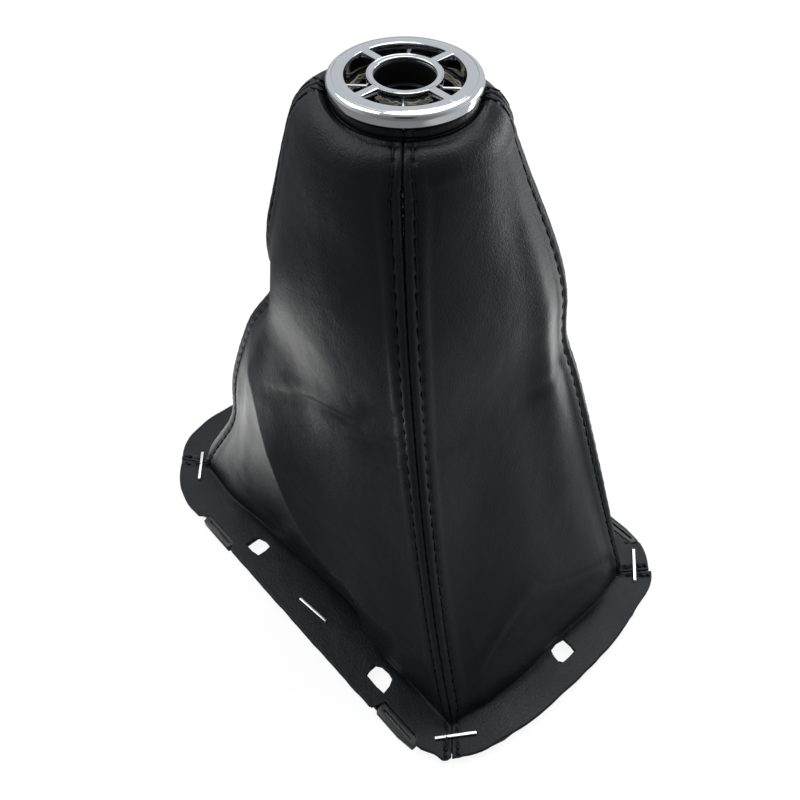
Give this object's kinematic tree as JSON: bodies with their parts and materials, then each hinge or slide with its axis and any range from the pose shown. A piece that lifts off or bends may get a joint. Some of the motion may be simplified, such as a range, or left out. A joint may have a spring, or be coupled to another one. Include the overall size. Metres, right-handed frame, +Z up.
{
  "type": "gear lever gaiter",
  "caption": "Tapered leather gear lever boot with topstitched corner seams, a stapled plastic base frame with clip holes, and a plated spoked collar.",
  "frame": {"origin": "middle of the base frame's underside", "axes": "+Z up the boot along the lever, +X towards the front of the car, +Y towards its left side"},
  "size_m": [0.165, 0.111, 0.1705],
  "materials": {
    "chrome_plated_abs": "bright plated",
    "black_abs": "satin black",
    "black_leather": "fine grain, satin",
    "galvanised_steel": "bright zinc"
  },
  "bodies": {
    "root": {"collar": "chrome_plated_abs", "bore_sleeve": "black_abs", "neck_hoop": "black_abs", "base_frame": "black_abs", "right_panel": "black_leather", "front_panel": "black_leather", "left_panel": "black_leather", "rear_panel": "black_leather", "staple_1": "galvanised_steel", "staple_2": "galvanised_steel", "staple_3": "galvanised_steel", "staple_4": "galvanised_steel", "staple_5": "galvanised_steel", "staple_6": "galvanised_steel"}
  },
  "joints": []
}
